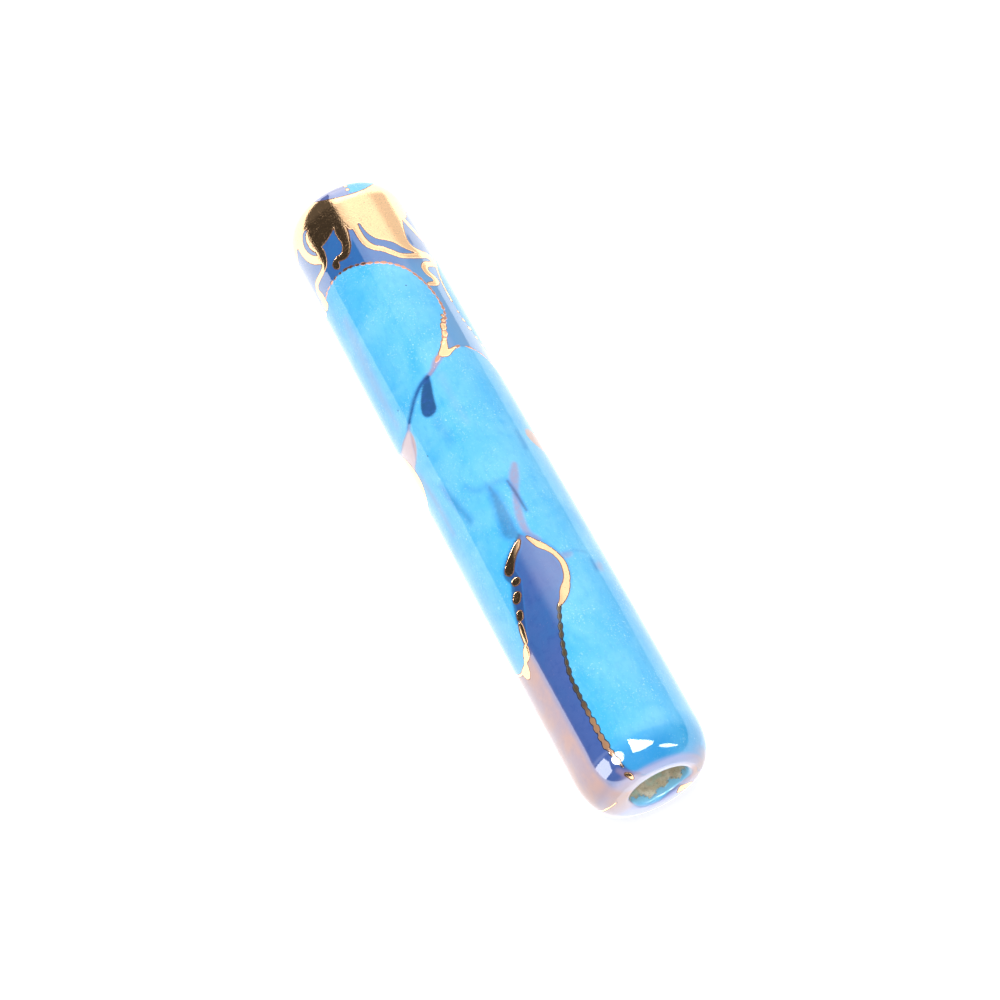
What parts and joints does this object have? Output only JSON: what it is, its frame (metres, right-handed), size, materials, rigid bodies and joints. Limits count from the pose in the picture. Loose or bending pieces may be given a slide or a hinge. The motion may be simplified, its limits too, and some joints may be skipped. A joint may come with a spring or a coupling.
{
  "type": "mezuzah case",
  "caption": "Tubular glazed ceramic mezuzah case with a blind bore for a rolled parchment, a push-in rubber stopper and adhesive foam pads on its back.",
  "frame": {"origin": "centre of the case's footprint, on the plane of the release liners' backs, where the case lies on a table or, with the liners off, meets the door post", "axes": "+Z out of the door post, towards the front of the case; +Y along the tube towards its closed top end, so the open mouth is at -Y; +X to the right as seen from the front"},
  "size_m": [0.0216, 0.12, 0.0223],
  "materials": {
    "glazed_clay": "glossy turquoise and cobalt glaze with fired gold lustre lines",
    "stopper_rubber": "matt moulded",
    "parchment": "matt, slightly mottled",
    "clear_sleeve": "clear film",
    "pad_foam": "fine closed-cell foam",
    "liner_paper": "waxed kraft paper"
  },
  "bodies": {
    "case": {"case_body": "glazed_clay", "foam_pad_top": "pad_foam", "foam_pad_bottom": "pad_foam", "release_liner_top": "liner_paper", "release_liner_bottom": "liner_paper"},
    "scroll_set": {"scroll": "parchment", "scroll_sleeve": "clear_sleeve"},
    "stopper": {"stopper": "stopper_rubber"}
  },
  "joints": [
    {"name": "scroll_slide", "type": "slide", "parent": "case", "child": "scroll_set", "axis": [0, -1, 0], "range_m": [0, 0.11]},
    {"name": "stopper_slide", "type": "slide", "parent": "scroll_set", "child": "stopper", "axis": [0, -1, 0], "range_m": [0, 0.02]}
  ]
}
